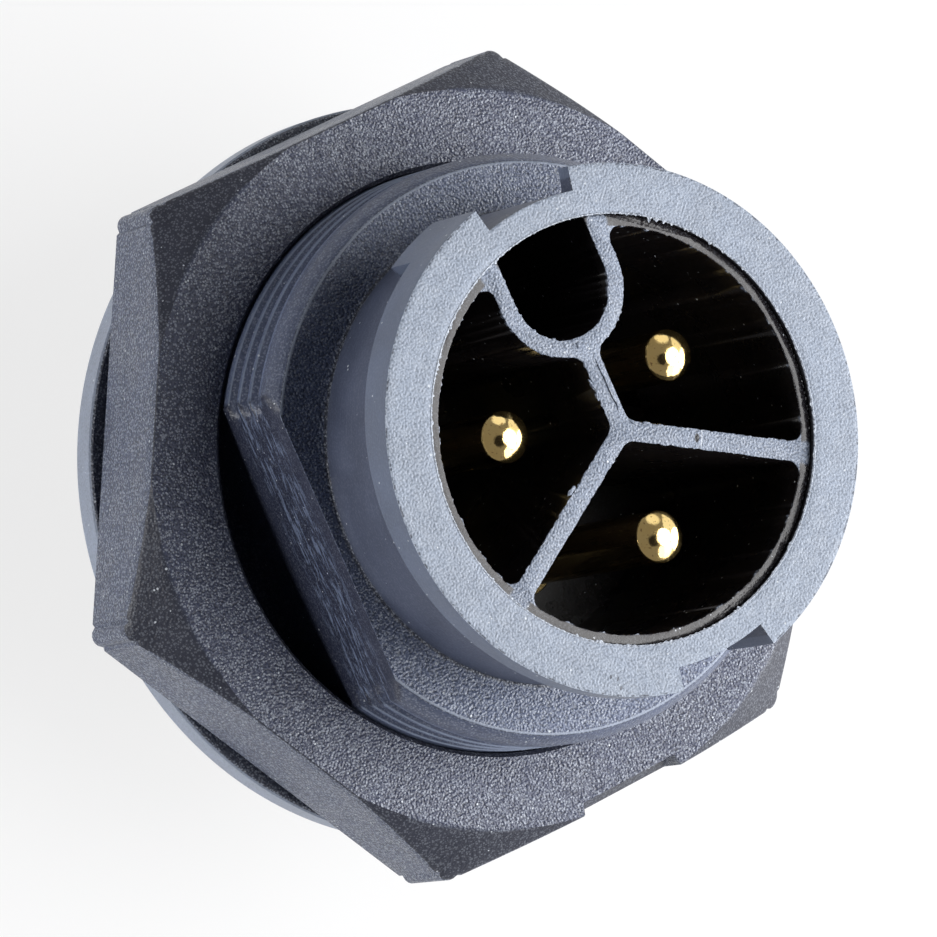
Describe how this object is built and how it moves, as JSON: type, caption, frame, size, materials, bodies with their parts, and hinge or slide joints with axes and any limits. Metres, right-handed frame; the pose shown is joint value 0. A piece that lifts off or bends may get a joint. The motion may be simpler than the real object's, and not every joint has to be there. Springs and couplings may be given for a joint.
{
  "type": "circular panel connector",
  "caption": "Round panel-mount power connector with recessed male pins, bayonet mating barrel, keyed threaded stem, rear flange and hexagon nut.",
  "frame": {"origin": "centre of the flange's panel face, on the connector's axis", "axes": "+Z along the axis towards the mating face, +Y towards the keyway and one bayonet slot, +X square to a stem flat and through a corner of the nut"},
  "size_m": [0.0358, 0.032, 0.0295],
  "materials": {
    "shell_plastic": "moulded glass-filled plastic, fine grain, pale sanded rim",
    "nut_plastic": "moulded plastic, speckled grain",
    "insulator_plastic": "moulded plastic, smooth inside, grained end face",
    "gold_plate": "polished gold plate on brass",
    "seal_rubber": "satin rubber",
    "spring_steel": "plain spring steel"
  },
  "bodies": {
    "receptacle": {"shell": "shell_plastic", "insulator": "insulator_plastic", "rear_insulator": "insulator_plastic", "contact_1": "gold_plate", "contact_2": "gold_plate", "contact_3": "gold_plate", "contact_seal_1": "seal_rubber", "contact_seal_2": "seal_rubber", "contact_seal_3": "seal_rubber", "insert_seal": "seal_rubber", "retaining_ring": "spring_steel", "panel_gasket": "seal_rubber"},
    "nut": {"hex_nut": "nut_plastic"}
  },
  "joints": [
    {"name": "nut_turn", "type": "hinge", "parent": "receptacle", "child": "nut", "pos_m": [0, 0, 0.003], "axis": [0, 0, 1], "continuous": true}
  ]
}
